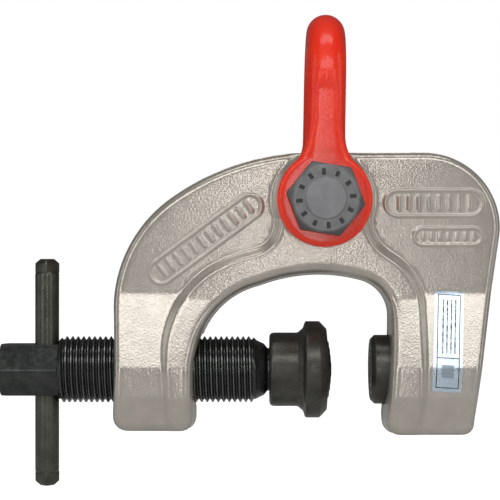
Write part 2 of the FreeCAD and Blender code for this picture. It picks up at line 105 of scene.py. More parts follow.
def shade(piece, sharp=35.0):
    """Smooth shading that keeps edges sharper than an angle in degrees."""
    work = bmesh.new()
    work.from_mesh(piece.data)
    for face in work.faces:
        face.smooth = True
    for edge in work.edges:
        edge.smooth = len(edge.link_faces) != 2 or edge.calc_face_angle(0.0) < math.radians(sharp)
    work.to_mesh(piece.data)
    work.free()


def rounded(corners, steps=6):
    """Points of a closed outline whose corners (a, b, radius) are rounded off; no radius is sharp."""
    points = []
    count = len(corners)
    for i, corner in enumerate(corners):
        here = Vector(corner[:2])
        radius = corner[2] if len(corner) > 2 else 0.0
        before = Vector(corners[i - 1][:2]) - here
        after = Vector(corners[(i + 1) % count][:2]) - here
        if radius <= 0 or before.length < 1e-6 or after.length < 1e-6:
            points.append(tuple(here))
            continue
        half = before.angle(after) / 2
        cut = min(radius / math.tan(half), 0.49 * before.length, 0.49 * after.length)
        start = here + before.normalized() * cut
        end = here + after.normalized() * cut
        for k in range(steps + 1):
            t = k / steps
            points.append(tuple((1 - t) ** 2 * start + 2 * t * (1 - t) * here + t * t * end))
    return points


def stacked(rows, count, ends="capped"):
    """Faces between rings of count points; the ends are capped, looped back to the start, or open."""
    faces = []
    for i in range(rows if ends == "looped" else rows - 1):
        here, there = i * count, (i + 1) % rows * count
        for k in range(count):
            m = (k + 1) % count
            faces.append((here + k, here + m, there + m, there + k))
    if ends == "capped":
        faces += [tuple(range(count)), tuple(range((rows - 1) * count, rows * count))]
    return faces


# A lathe's length direction and its two radial directions
LATHE_AXES = {"X": ((1, 0, 0), (0, 1, 0), (0, 0, 1)),
              "Y": ((0, 1, 0), (0, 0, 1), (1, 0, 0)),
              "Z": ((0, 0, 1), (1, 0, 0), (0, 1, 0))}


def lathe(profile, axis="X", origin=(0, 0, 0), segments=128, closed=False):
    """Verts and faces of a turned shape: profile points are (length, radius)."""
    along, first, second = (np.array(direction, float) for direction in LATHE_AXES[axis])
    origin = np.array(origin, float)
    verts = []
    for length, radius in profile:
        for k in range(segments):
            angle = 2 * math.pi * k / segments
            spoke = first * math.cos(angle) + second * math.sin(angle)
            verts.append(tuple(origin + along * length + spoke * radius))
    return verts, stacked(len(profile), segments, "looped" if closed else "open")


def merge(*parts):
    """Join several (verts, faces) pairs."""
    verts, faces = [], []
    for more_verts, more_faces in parts:
        base = len(verts)
        verts += list(more_verts)
        faces += [tuple(base + i for i in face) for face in more_faces]
    return verts, faces


def hexagon_head(flats, height, chamfer_radius, turn=0.0, corner=0.5, hole=0.0):
    """Hexagon whose top corners are turned off, from z 0 up to its height, with an optional hole."""
    reach = flats / 2 / math.cos(math.radians(30))
    corners = [(reach * math.cos(math.radians(60 * k + turn)),
                reach * math.sin(math.radians(60 * k + turn)), corner) for k in range(6)]
    ring = rounded(corners, 4)
    outline = []
    for point, after in zip(ring, ring[1:] + ring[:1]):
        outline += straight(point, after, 0.9, nearest=True)
    slope = math.tan(math.radians(28))
    edge = 0.12
    inner = max(hole, 0.01)
    rows = [("top", share) for share in (0.0, 0.5, 0.9, 1.0)]
    rows += [("side", share) for share in (0.08, 0.5, 0.92)]
    rows += [("low", share) for share in (1.0, 0.9, 0.0)]
    verts = []
    for kind, share in rows:
        for x, y in outline:
            radius = math.hypot(x, y)
            if kind == "side":
                high = height - max(0.0, radius - chamfer_radius) * slope - edge
                verts.append((x, y, high + (edge - high) * share))
                continue
            at = inner + (radius - edge - inner) * share
            fall = max(0.0, at - chamfer_radius) * slope
            verts.append((x * at / radius, y * at / radius, height - fall if kind == "top" else 0.0))
    return verts, stacked(len(rows), len(outline), "looped" if hole else "capped")


def turned(shape, matrix):
    """Apply a 4x4 matrix to a (verts, faces) pair."""
    verts, faces = shape
    return [tuple(matrix @ Vector(v)) for v in verts], faces


def threaded(x_start, x_end, major, pitch, depth, start_bevel, end_bevel, segments=120):
    """Right-hand thread along X: a grid skewed to follow the helix, bevelled at both ends."""
    crest, root = 0.14 * pitch, 0.16 * pitch
    section = [(0.0, 0.0), (crest, 0.0),
               (0.5 * (pitch + crest - root), depth), (0.5 * (pitch + crest + root), depth)]
    verts = []
    turns = int((x_end - x_start) / pitch) + 2
    for turn in range(-1, turns):
        for along, sunk in section:
            for k in range(segments):
                angle = 2 * math.pi * k / segments
                x = x_start + pitch * (turn + k / segments) + along
                x = min(max(x, x_start), x_end)
                radius = min(major - sunk, major - start_bevel + (x - x_start),
                             major - end_bevel + (x_end - x))
                verts.append((x, radius * math.cos(angle), radius * math.sin(angle)))
    faces = []
    rows = len(verts) // segments
    per_turn = len(section)
    for i in range(rows - 1):
        for k in range(segments):
            m = k + 1
            if m < segments:
                faces.append((i * segments + k, i * segments + m,
                              (i + 1) * segments + m, (i + 1) * segments + k))
            elif i + per_turn + 1 < rows:
                faces.append((i * segments + k, (i + per_turn) * segments,
                              (i + per_turn + 1) * segments, (i + 1) * segments + k))
    return verts, faces


# -------------------- frame outline
def arc(start, via, end, step=0.8):
    """Points along the circle through three points, without the last one."""
    (ax, ay), (bx, by), (cx, cy) = start, via, end
    a, b, c = ax**2 + ay**2, bx**2 + by**2, cx**2 + cy**2
    divisor = 2 * (ax * (by - cy) + bx * (cy - ay) + cx * (ay - by))
    middle_x = (a * (by - cy) + b * (cy - ay) + c * (ay - by)) / divisor
    middle_y = (a * (cx - bx) + b * (ax - cx) + c * (bx - ax)) / divisor
    radius = math.hypot(ax - middle_x, ay - middle_y)
    first, at_via, at_end = (math.atan2(y - middle_y, x - middle_x) for x, y in (start, via, end))
    turn_end = (at_end - first) % (2 * math.pi)
    if (at_via - first) % (2 * math.pi) > turn_end:
        turn_end -= 2 * math.pi
    pieces = max(3, int(abs(turn_end) * radius / step))
    return [(middle_x + radius * math.cos(first + turn_end * k / pieces),
             middle_y + radius * math.sin(first + turn_end * k / pieces)) for k in range(pieces)]


def straight(start, end, step=0.8, nearest=False):
    """Points along a straight line, without the last one."""
    pieces = math.dist(start, end) / step
    pieces = max(1, round(pieces) if nearest else int(pieces))
    return [(start[0] + (end[0] - start[0]) * k / pieces,
             start[1] + (end[1] - start[1]) * k / pieces) for k in range(pieces)]


def trace(start, steps):
    """Sampled closed line from a start point: a step is an end point or (via point, end point)."""
    points = []
    here = start
    for step in steps:
        if isinstance(step[0], tuple):
            points += arc(here, *step)
            here = step[1]
        else:
            points += straight(here, step)
            here = step
    return np.array(points)


def softened(line, passes):
    """Even out a closed line's points, or a value given along it."""
    for _ in range(passes):
        line = 0.5 * line + 0.25 * (np.roll(line, 1, 0) + np.roll(line, -1, 0))
    return line


def signed_distance(points, line):
    """Distance to a closed line, positive inside."""
    ends = np.roll(line, -1, 0)
    best = np.full(len(points), 1e9)
    inside = np.zeros(len(points), bool)
    for (ax, ay), (bx, by) in zip(line, ends):
        px, py = points[:, 0] - ax, points[:, 1] - ay
        dx, dy = bx - ax, by - ay
        t = np.clip((px * dx + py * dy) / (dx * dx + dy * dy + 1e-12), 0, 1)
        best = np.minimum(best, np.hypot(px - t * dx, py - t * dy))
        crosses = (ay > points[:, 1]) != (by > points[:, 1])
        if dy:
            inside ^= crosses & (points[:, 0] < dx * (points[:, 1] - ay) / dy + ax)
    return np.where(inside, best, -best)


# The forging's outline, and the raised flange round the throat, which runs on past the feet
OUTLINE = softened(trace((-93.2, 23.7), [
    ((-88.0, 44.0), (-71.2, 63.0)), ((-50.5, 73.7), (-26.9, FRAME_TOP - 0.2)), (18.0, FRAME_TOP),
    ((37.6, 72.0), (47.0, 50.0)), (37.2, RIGHT_FOOT + 5.5),
    ((36.0, RIGHT_FOOT + 1.5), (31.9, RIGHT_FOOT)), (9.5, RIGHT_FOOT),
    ((5.6, RIGHT_FOOT + 1.6), (4.0, RIGHT_FOOT + 5.5)), (6.2, 12.5), (6.2, 20.0),
    ((3.6, 27.6), (-3.6, 32.4)), ((-22.0, 34.3), (-40.0, 30.4)), ((-54.0, 22.7), (-61.5, 10.0)),
    (-63.0, 3.0), (-63.0, LEFT_FOOT + 5.0), ((-64.3, LEFT_FOOT + 1.5), (-67.6, LEFT_FOOT)),
    (-87.5, LEFT_FOOT), ((-91.8, LEFT_FOOT + 1.8), (-93.4, LEFT_FOOT + 6.0)), (-92.8, 0.0),
    (-93.2, 23.7)]), 4)

BAND = softened(trace((-71.0, -60.0), [
    (-73.2, -12.0), (-74.0, 3.0), ((-70.5, 22.0), (-58.0, 36.2)), ((-51.2, 39.6), (-43.5, 42.2)),
    ((-36.4, 45.6), (-33.4, 52.2)), (-33.0, 58.0), (-17.3, 68.0), (-1.6, 58.0),
    (-1.2, 52.2), ((1.4, 46.2), (7.0, 41.2)),
    ((13.8, 35.2), (18.0, 25.5)), (18.4, 10.0), (18.4, -8.0), (15.5, -24.0), (15.0, -60.0),
    (-71.0, -60.0)]), 8)
BOSS_RADIUS = 17.3
STEP_HALF = 1.5


def eased(share):
    """Smooth step from 0 to 1."""
    return share * share * (3 - 2 * share)


def step_distance(points):
    """How far inside the raised flange or the boss a point is."""
    boss = BOSS_RADIUS - np.hypot(points[:, 0] - BOLT_X, points[:, 1] - BOLT_Z)
    return np.maximum(signed_distance(points, BAND), boss)


# Raised outlines with ribs in them on the web: middle, half length, half width and tilt in degrees
# of the outline, then the number of ribs, the gap from one to the next and their half length
MARK_HEIGHT, MARK_HALF = 0.42, 0.68
RIBBED = [((-59.5, 47.3), 24.0, 4.3, 36.5, 12, 3.5, 2.0),
          ((22.5, 60.2), 17.6, 4.6, 0.0, 8, 3.6, 2.2),
          ((27.6, 48.2), 12.2, 3.0, 0.0, 7, 3.0, 0.9)]


def all_marks():
    """Outlines and ribs: middle, half length, half width, tilt, and whether it is a single line."""
    marks = [(*outline[:4], False) for outline in RIBBED]
    for middle, _, _, tilt, ribs, gap, half_length in RIBBED:
        turn = math.radians(tilt)
        for rib in range(ribs):
            along = (rib - (ribs - 1) / 2) * gap
            place = (middle[0] + along * math.cos(turn), middle[1] + along * math.sin(turn))
            marks.append((place, half_length, 0.0, tilt + 90.0, True))
    return marks


MARKS = all_marks()


def mark_field(points, mark):
    """Distance from one mark's line, in millimetres."""
    (x, z), half_length, half_width, tilt, single = mark
    turn = math.radians(tilt)
    across = points[:, 0] - x
    up = points[:, 1] - z
    u = np.abs(across * math.cos(turn) + up * math.sin(turn)) - (half_length - half_width)
    v = np.abs(up * math.cos(turn) - across * math.sin(turn))
    away = np.hypot(np.maximum(u, 0), v) - half_width
    return np.maximum(away, 0) if single else np.abs(away)


def mark_distance(points):
    """Distance from the nearest mark's line."""
    return np.min([mark_field(points, mark) for mark in MARKS], axis=0)


def mark_points():
    """Mesh points on loops round each mark's line, on both of its sides."""
    outside = [0.0, 0.3, 0.6, 0.9, 1.3]
    inside = [-offset for offset in reversed(outside[1:])]
    arc_step, run_step = 0.6, 0.9
    points = []
    for (x, z), half_length, half_width, tilt, single in MARKS:
        turn = math.radians(tilt)
        straight_half = half_length - half_width
        for offset in outside if single else inside + outside:
            radius = half_width + offset
            loop = []
            count = max(6, round(math.pi * radius / arc_step))
            for k in range(count + 1):
                angle = math.pi * k / count - math.pi / 2
                loop.append((straight_half + radius * math.cos(angle), radius * math.sin(angle)))
            runs = max(1, round(2 * straight_half / run_step))
            for k in range(1, runs):
                loop.append((straight_half - 2 * straight_half * k / runs, radius))
            for u, v in loop + [(-u, -v) for u, v in loop]:
                points.append((x + u * math.cos(turn) - v * math.sin(turn),
                               z + u * math.sin(turn) + v * math.cos(turn)))
    return np.array(points)


def side_height(z, upper, lower, top):
    """Half thickness down the legs, with its bends softened: more at the upper one than lower down."""
    far = 300.0
    knots = [-far, LEG_END, LEG_FLAT, LEG_FULL, top, far]
    low = lower - LEG_END_LOSS
    values = [low, low, lower, lower, upper, upper]
    softening = np.where(z > (LEG_TOP + LEG_FULL) / 2, 1.3, 0.55)
    return sum(np.interp(z + softening * k, knots, values) for k in (-1, -0.5, 0, 0.5, 1)) / 5


def face_height(points):
    """Half thickness of the forging at each (x, z), before its rims are rounded."""
    share = eased(np.clip(0.5 + step_distance(points) / STEP_HALF / 2.5, 0, 1))
    web = side_height(points[:, 1], WEB_HALF, LEG_WEB_HALF, WEB_TOP)
    flange = side_height(points[:, 1], FLANGE_HALF, LEG_FLANGE_HALF, LEG_TOP)
    rise = eased(np.clip(1.25 - mark_distance(points) / MARK_HALF, 0, 1))
    return web + (flange - web) * share + MARK_HEIGHT * rise


def in_throat(points):
    """1 on the open inside of the C, 0 elsewhere."""
    left, right, top = -66.0, 9.0, 36.0
    x, z = points[:, 0], points[:, 1]
    return ((x > left) & (x < right) & (z < top) & (z > RIGHT_FOOT + 2)).astype(float)


def frame_rings():
    """Loops of points from the parting line, up the drafted side and over the rounded rim."""
    line = OUTLINE
    ahead = np.roll(line, -3, 0) - np.roll(line, 3, 0)
    ahead /= np.linalg.norm(ahead, axis=1)[:, None]
    inward = np.stack([ahead[:, 1], -ahead[:, 0]], 1)
    if signed_distance(line[:1] + inward[:1], line)[0] < 0:
        inward = -inward
    outer_rim, extra_in_throat = 2.9, 0.9
    rim = outer_rim + extra_in_throat * softened(in_throat(line), 60)
    draft, parting_ridge, past_rim = 0.05, 0.22, 3.5
    tall = face_height(line + inward * past_rim)
    lean = draft * (tall - rim) + 0.25
    rings = [(line, np.zeros(len(line))), (line + inward * parting_ridge, (tall - rim) * 0.03)]
    for share in (0.3, 0.65, 1.0):
        inset = parting_ridge + (lean - parting_ridge) * share
        rings.append((line + inward * inset[:, None], (tall - rim) * share))
    for degrees in (10, 22, 34, 46, 58, 70, 80, 90):
        angle = math.radians(degrees)
        at = line + inward * (lean + rim * (1 - math.cos(angle)))[:, None]
        mix = math.sin(angle)
        level = tall * (1 - mix) + face_height(at) * mix
        rings.append((at, level - rim * (1 - mix)))
    return rings


def thinned(points, cell):
    """The first point in each square cell."""
    kept = {}
    for point in points:
        kept.setdefault((round(point[0] / cell), round(point[1] / cell)), point)
    return np.array(list(kept.values()))


def coarse_points(low, high):
    """Staggered rows away from the step and the marks, closer together at the legs' bends."""
    step = 1.3
    bends = (((LEG_TOP + WEB_TOP) / 2, 2.9, 13), (LEG_FULL, 1.5, 9), (LEG_FLAT, 1.5, 9))
    rows = [z for z in np.arange(low[1], high[1], step)
            if all(abs(z - bend) > reach + 0.6 for bend, reach, _ in bends)]
    for bend, reach, number in bends:
        rows += list(np.linspace(bend - reach, bend + reach, number))
    grid = np.array([(x + 0.3 * (i % 2), z) for i, z in enumerate(rows)
                     for x in np.arange(low[0], high[0], step)])
    grid = grid[np.abs(step_distance(grid)) > STEP_HALF + 1.0]
    return grid[mark_distance(grid) > 1.7]


def step_points(low, high):
    """A fine grid near the step, pulled on to contours along it, seven of them on the step itself."""
    step = 0.55
    points = np.array([(x, z) for z in np.arange(low[1], high[1], step)
                       for x in np.arange(low[0], high[0], step)])
    points = points[np.abs(step_distance(points)) <= STEP_HALF + 0.7]
    gap = STEP_HALF * 2 / 7
    tiny = 0.01
    for _ in range(2):
        here = step_distance(points)
        slope = np.stack([step_distance(points + [tiny, 0]) - here,
                          step_distance(points + [0, tiny]) - here], 1) / tiny
        steep = np.maximum((slope ** 2).sum(1), 0.05)
        goal = (np.round(here / gap - 0.5) + 0.5) * gap
        points = points + slope * ((goal - here) / steep)[:, None]
    return thinned(points, 0.42)


def inner_points(edge):
    """Points for a face of the frame inside its rim."""
    low, high = edge.min(0), edge.max(0)
    marks = mark_points()
    marks = marks[np.abs(step_distance(marks)) > STEP_HALF + 0.9]
    points = np.concatenate([coarse_points(low, high), step_points(low, high), thinned(marks, 0.22)])
    return points[signed_distance(points, edge) > 0.55]


def frame_mesh():
    """Both halves of the forging: its drafted sides and rims, and a triangulated face each."""
    rings = frame_rings()
    count = len(OUTLINE)
    edge = rings[-1][0]
    inside = inner_points(edge)
    flat = [Vector(p) for p in np.concatenate([edge, inside])]
    loop = [(i, (i + 1) % count) for i in range(count)]
    out_verts, _, triangles, origins, _, _ = geometry.delaunay_2d_cdt(flat, loop, [], 1, 1e-5)
    out = np.array([tuple(v) for v in out_verts])
    heights = face_height(out)
    new_of = {old: index for index, olds in enumerate(origins) for old in olds}
    verts, faces = [], []
    for side in (-1, 1):
        base = len(verts)
        for at, level in rings[:-1]:
            verts += [(x, side * h, z) for (x, z), h in zip(at, level)]
        patch = len(verts)
        verts += [(x, side * h, z) for (x, z), h in zip(out, heights)]
        faces += [tuple(base + i for i in face) for face in stacked(len(rings) - 1, count, "open")]
        last = patch - count
        for k in range(count):
            m = (k + 1) % count
            faces.append((last + k, last + m, patch + new_of[m], patch + new_of[k]))
        faces += [tuple(patch + i for i in triangle) for triangle in triangles]
    return verts, faces


def carve(piece, cutters):
    """Cut turned holes out of a piece, and leave it as a plain mesh."""
    for number, (verts, faces) in enumerate(cutters):
        tool = new_object(f"cutter_{number}", verts, faces)
        cutting = piece.modifiers.new("cut", "BOOLEAN")
        cutting.operation = "DIFFERENCE"
        cutting.solver = "EXACT"
        cutting.object = tool
        apply_modifiers(piece)
        bpy.data.objects.remove(tool)


def apply_modifiers(piece):
    """Turn a piece with its modifiers into a plain mesh."""
    graph = bpy.context.evaluated_depsgraph_get()
    done = bpy.data.meshes.new_from_object(piece.evaluated_get(graph))
    piece.modifiers.clear()
    piece.data = done


def build_frame():
    """The forging, with the screw's bore, the fixed jaw's seat and the bolt's hole cut out of it."""
    piece = new_object("forged_frame", *frame_mesh())
    tapped, mouth = THREAD_RADIUS + 0.07, 12.9
    screw_bore = lathe([(-110, 0), (-110, 13.4), (-92.2, 13.4), (-90.8, tapped), (-64.2, tapped),
                        (-63.4, mouth), (-50, mouth), (-50, 0)], "X")
    jaw_seat = lathe([(-20, 0), (-20, mouth), (SEAT_FLOOR, mouth), (SEAT_FLOOR, STEM_RADIUS),
                      (STEM_END + 0.5, STEM_RADIUS), (STEM_END + 0.5, 0)], "X")
    bolt_hole = BOLT_RADIUS + 0.03
    bolt_bore = lathe([(-30, 0), (-30, bolt_hole), (30, bolt_hole), (30, 0)], "Y",
                      (BOLT_X, 0, BOLT_Z))
    carve(piece, [screw_bore, jaw_seat, bolt_bore])
    shade(piece, 50)
    adopt(piece, "clamp_frame", "frame")
    paint(piece, frame_paint())


# -------------------- materials
def material(name):
    """A new material, its node tree and its shader."""
    made = bpy.data.materials.new(name)
    made.use_nodes = True
    tree = made.node_tree
    return made, tree, tree.nodes["Principled BSDF"]


def paint(piece, made):
    """Give a piece its one material."""
    piece.data.materials.clear()
    piece.data.materials.append(made)


def node(tree, kind, **values):
    """A node with the given input values or settings."""
    made = tree.nodes.new(kind)
    for name, value in values.items():
        if name in made.inputs:
            made.inputs[name].default_value = value
        else:
            setattr(made, name, value)
    return made


def ramp(tree, source, stops):
    """Colour ramp: stops are (position, (r, g, b))."""
    made = tree.nodes.new("ShaderNodeValToRGB")
    elements = made.color_ramp.elements
    while len(elements) < len(stops):
        elements.new(0.5)
    for element, (position, colour) in zip(elements, stops):
        element.position = position
        element.color = (*colour, 1)
    tree.links.new(source, made.inputs["Fac"])
    return made.outputs["Color"]


def coordinates(tree):
    return tree.nodes.new("ShaderNodeTexCoord").outputs["Object"]


def noise(tree, scale, detail=2.0, roughness=0.5):
    """Noise in the object's coordinates, with its scale in features to the metre."""
    made = node(tree, "ShaderNodeTexNoise", Scale=scale, Detail=detail, Roughness=roughness)
    tree.links.new(coordinates(tree), made.inputs["Vector"])
    return made.outputs["Fac"]


def spread(tree, source, low, high, from_low=0.3, from_high=0.7):
    """Map a value's range on to another one, and clamp it there."""
    limits = {"From Min": from_low, "From Max": from_high, "To Min": low, "To Max": high}
    made = node(tree, "ShaderNodeMapRange", **limits)
    tree.links.new(source, made.inputs["Value"])
    return made.outputs["Result"]


def split_axes(tree, source):
    """X, Y and Z of a vector."""
    made = tree.nodes.new("ShaderNodeSeparateXYZ")
    tree.links.new(source, made.inputs[0])
    return made.outputs


def maths(tree, operation, first, second=0.0):
    """A Math node's result, from two numbers or sockets."""
    made = node(tree, "ShaderNodeMath", operation=operation)
    for socket, value in zip(made.inputs, (first, second)):
        if isinstance(value, (int, float)):
            socket.default_value = value
        else:
            tree.links.new(value, socket)
    return made.outputs[0]


def bumps(tree, shader, layers):
    """Stack bump layers: (height source, strength, distance in metres)."""
    normal = None
    for source, strength, distance in layers:
        made = node(tree, "ShaderNodeBump", Strength=strength, Distance=distance)
        tree.links.new(source, made.inputs["Height"])
        if normal:
            tree.links.new(normal, made.inputs["Normal"])
        normal = made.outputs["Normal"]
    tree.links.new(normal, shader.inputs["Normal"])


def frame_paint():
    """Silver-grey paint over a shot-blasted forging: a fine grain that comes and goes."""
    made, tree, shader = material("frame_paint")
    dark, light = (0.455, 0.42, 0.37), (0.53, 0.49, 0.43)
    tree.links.new(ramp(tree, noise(tree, 160, 4, 0.6), [(0.3, dark), (0.7, light)]),
                   shader.inputs["Base Color"])
    tree.links.new(spread(tree, noise(tree, 900, 2, 0.6), 0.17, 0.25), shader.inputs["Roughness"])
    shader.inputs["Metallic"].default_value = 0.55
    patches = spread(tree, noise(tree, 26, 2, 0.5), 0.45, 0.72, 0.4, 0.62)
    grain = maths(tree, "MULTIPLY", noise(tree, 1500, 1, 0.5), patches)
    bumps(tree, shader, [(grain, 0.42, 0.0002), (noise(tree, 90, 2, 0.5), 0.12, 0.0006)])
    return made


def oxide(name, dark, light, rough, metallic=0.75):
    """Oxide-finished steel: slightly uneven, with a soft sheen."""
    made, tree, shader = material(name)
    tree.links.new(ramp(tree, noise(tree, 180, 4, 0.6), [(0.3, dark), (0.75, light)]),
                   shader.inputs["Base Color"])
    tree.links.new(spread(tree, noise(tree, 500, 3, 0.6), rough - 0.07, rough + 0.08),
                   shader.inputs["Roughness"])
    shader.inputs["Metallic"].default_value = metallic
    bumps(tree, shader, [(noise(tree, 900, 3, 0.6), 0.18, 0.0002)])
    return made


def radius_from(tree, first, second):
    """Distance in metres from an axis, from two (coordinate, middle in millimetres) pairs."""
    sides = [maths(tree, "SUBTRACT", source, middle * MM) for source, middle in (first, second)]
    squares = [maths(tree, "MULTIPLY", side, side) for side in sides]
    return maths(tree, "SQRT", maths(tree, "ADD", *squares))


def tinted(tree, share, colour):
    """Mix the shader's base colour towards another one by a share from 0 to 1."""
    shader = tree.nodes["Principled BSDF"]
    blend = node(tree, "ShaderNodeMix", data_type="RGBA")
    tree.links.new(share, blend.inputs["Factor"])
    tree.links.new(shader.inputs["Base Color"].links[0].from_socket, blend.inputs["A"])
    blend.inputs["B"].default_value = (*colour, 1)
    tree.links.new(blend.outputs["Result"], shader.inputs["Base Color"])


def screw_oxide():
    """Black oxide whose thread crests are painted a dull grey: partly wear on the crests, partly a
    painted highlight along them.
    """
    made = oxide("screw_steel", (0.032, 0.036, 0.033), (0.070, 0.075, 0.070), 0.25)
    tree = made.node_tree
    x, y, z = split_axes(tree, coordinates(tree))
    radius = radius_from(tree, (y, 0.0), (z, 0.0))
    crest = spread(tree, radius, 0.0, 1.0, (THREAD_RADIUS - 0.4) * MM, (THREAD_RADIUS - 0.1) * MM)
    threads = spread(tree, x, 0.0, 1.0, (THREAD_START - 0.2) * MM, THREAD_START * MM)
    wear_and_highlight = spread(tree, noise(tree, 120, 2, 0.5), 0.3, 0.9)
    # Lighter crests: partly wear, partly a painted highlight along each crest.
    tinted(tree, maths(tree, "MULTIPLY", wear_and_highlight, maths(tree, "MULTIPLY", crest, threads)),
           (0.23, 0.24, 0.23))
    return made


def bolt_grey(name):
    return oxide(name, (0.20, 0.202, 0.206), (0.29, 0.292, 0.296), 0.42, 0.6)


def bolt_oxide():
    """Grey bolt steel with painted shade on the head's bevelled corners, and darker in the ring of ticks
    and on the ticks.
    """
    made = bolt_grey("bolt_steel")
    tree = made.node_tree
    x, y, z = split_axes(tree, coordinates(tree))
    radius = radius_from(tree, (x, BOLT_X), (z, BOLT_Z))
    # Painted shade: the bevelled corners are darkened as if their slopes faced darker surroundings.
    tinted(tree, spread(tree, radius, 0.0, 0.7, 0.0115, 0.0119), (0.05, 0.05, 0.05))
    ring = spread(tree, radius, 0.0, 0.4, 0.0070, 0.0074)
    blotches = spread(tree, noise(tree, 350, 3, 0.6), 0.3, 1.0)
    tinted(tree, maths(tree, "MULTIPLY", ring, blotches), (0.06, 0.06, 0.06))
    face = EYE_OUTER + HEAD_HEIGHT
    proud = spread(tree, y, 1.0, 0.0, -(face + 0.4) * MM, -(face + 0.25) * MM)
    outside = spread(tree, radius, 0.0, 0.85, 0.0072, 0.0073)
    tinted(tree, maths(tree, "MULTIPLY", proud, outside), (0.02, 0.02, 0.02))
    return made


def shackle_paint():
    """Glossy red-orange enamel over a forging that is rough on the middle of each neck."""
    made, tree, shader = material("shackle_paint")
    dark, light = (0.94, 0.026, 0.008), (0.98, 0.046, 0.010)
    tree.links.new(ramp(tree, noise(tree, 120, 3, 0.5), [(0.35, dark), (0.7, light)]),
                   shader.inputs["Base Color"])
    tree.links.new(spread(tree, noise(tree, 300, 2, 0.5), 0.24, 0.34), shader.inputs["Roughness"])
    shader.inputs["Coat Weight"].default_value = 0.35
    shader.inputs["Coat Roughness"].default_value = 0.1
    shader.inputs["Specular IOR Level"].default_value = 0.35
    x, _, z = split_axes(tree, coordinates(tree))
    middle = maths(tree, "ABSOLUTE", maths(tree, "SUBTRACT", x, (BOLT_X + 0.4) * MM))
    across = spread(tree, middle, 1.0, 0.0, 0.0025, 0.0045)
    upper = spread(tree, z, 1.0, 0.0, 0.100, 0.118)
    lower = spread(tree, z, 0.0, 1.0, 0.077, 0.079)
    patch = maths(tree, "MULTIPLY", across, maths(tree, "MULTIPLY", upper, lower))
    rough = maths(tree, "MULTIPLY", noise(tree, 700, 3, 0.6), patch)
    bumps(tree, shader, [(noise(tree, 260, 2, 0.5), 0.2, 0.0004), (rough, 0.8, 0.0006)])
    return made


def bright_steel(name="bright_steel", tone=0.55):
    """Plain bright steel, for the small parts."""
    made, tree, shader = material(name)
    low = (tone * 0.85,) * 3
    high = (tone, tone, tone * 1.02)
    tree.links.new(ramp(tree, noise(tree, 300, 3, 0.6), [(0.3, low), (0.7, high)]),
                   shader.inputs["Base Color"])
    tree.links.new(spread(tree, noise(tree, 700, 3, 0.6), 0.25, 0.4), shader.inputs["Roughness"])
    shader.inputs["Metallic"].default_value = 1.0
    bumps(tree, shader, [(noise(tree, 1200, 2, 0.6), 0.1, 0.0001)])
    return made


# -------------------- pieces
def build_screw(steel):
    """Threaded screw with a hexagon head, and a stub with the snap ring's groove at its tip."""
    head_neck, neck, stub, groove, groove_half = 8.6, 7.75, 7.3, 6.45, 1.6
    tip = BALL_X - 0.8
    thread = threaded(THREAD_START, THREAD_END, THREAD_RADIUS, THREAD_PITCH, THREAD_DEPTH, 1.3, 1.4)
    core = lathe(rounded([
        (HEX_END - 2, 0), (HEX_END - 2, head_neck), (HEX_END, head_neck, 0.2),
        (THREAD_START + 0.2, 10.2, 0.1), (THREAD_END - 0.1, 10.7), (THREAD_END, 10.6),
        (-38.5, 9.3, 0.3), (-37.3, neck, 0.3), (-35.2, neck, 0.2), (-34.7, stub, 0.1),
        (RING_X - groove_half, stub), (RING_X - groove_half, groove, 0.3),
        (RING_X + groove_half, groove, 0.3), (RING_X + groove_half, stub),
        (tip, stub, 0.7), (tip, 0)]), "X")
    flats, overlap = 18.5, 0.4
    seat = Matrix(((0, 0, -1, HEX_END + overlap), (1, 0, 0, 0), (0, 1, 0, 0), (0, 0, 0, 1)))
    head = turned(hexagon_head(flats, HEX_END - HEX_START + overlap, flats / 2 - 0.35, 60), seat)
    piece = new_object("clamping_screw", *merge(thread, core, head), "clamping_screw", "screw",
                       "black_steel", 28)
    paint(piece, steel)


def build_bar(steel):
    """Round rod whose two ends are hammered to a blunt square, so that it can't fall out."""
    shoulder, tucked, tucked_radius = BAR_HALF - STAKE, 0.7, 3.9
    profile = rounded([(-shoulder - tucked, 0), (-shoulder - tucked, tucked_radius, 0.1),
                       (-shoulder, BAR_RADIUS, 0.3), (shoulder, BAR_RADIUS, 0.3),
                       (shoulder + tucked, tucked_radius, 0.1), (shoulder + tucked, 0)])
    rod = lathe(profile, "Z", (BAR_X, 0, BAR_MIDDLE), 64)
    corner, skew, softness = BAR_RADIUS + 0.35, 0.6, 0.9
    square = rounded([(corner, skew, softness), (skew, corner, softness),
                      (-corner, 0, softness), (0, -corner, softness)], 5)
    levels = ((STAKE + 0.4, 0.80), (STAKE, 0.93), (STAKE - 0.6, 0.99), (1.8, 0.99), (1.5, 0.96),
              (0.35, 0.66), (0.0, 0.56))
    stakes = []
    for sign in (-1, 1):
        verts = [(BAR_X + x * share, y * share, BAR_MIDDLE + sign * (BAR_HALF - depth))
                 for depth, share in levels for x, y in square]
        stakes.append((verts, stacked(len(levels), len(square))))
    piece = new_object("handle_rod", *merge(rod, *stakes), "handle", "handle_bar", "bar_steel", 28)
    paint(piece, steel)


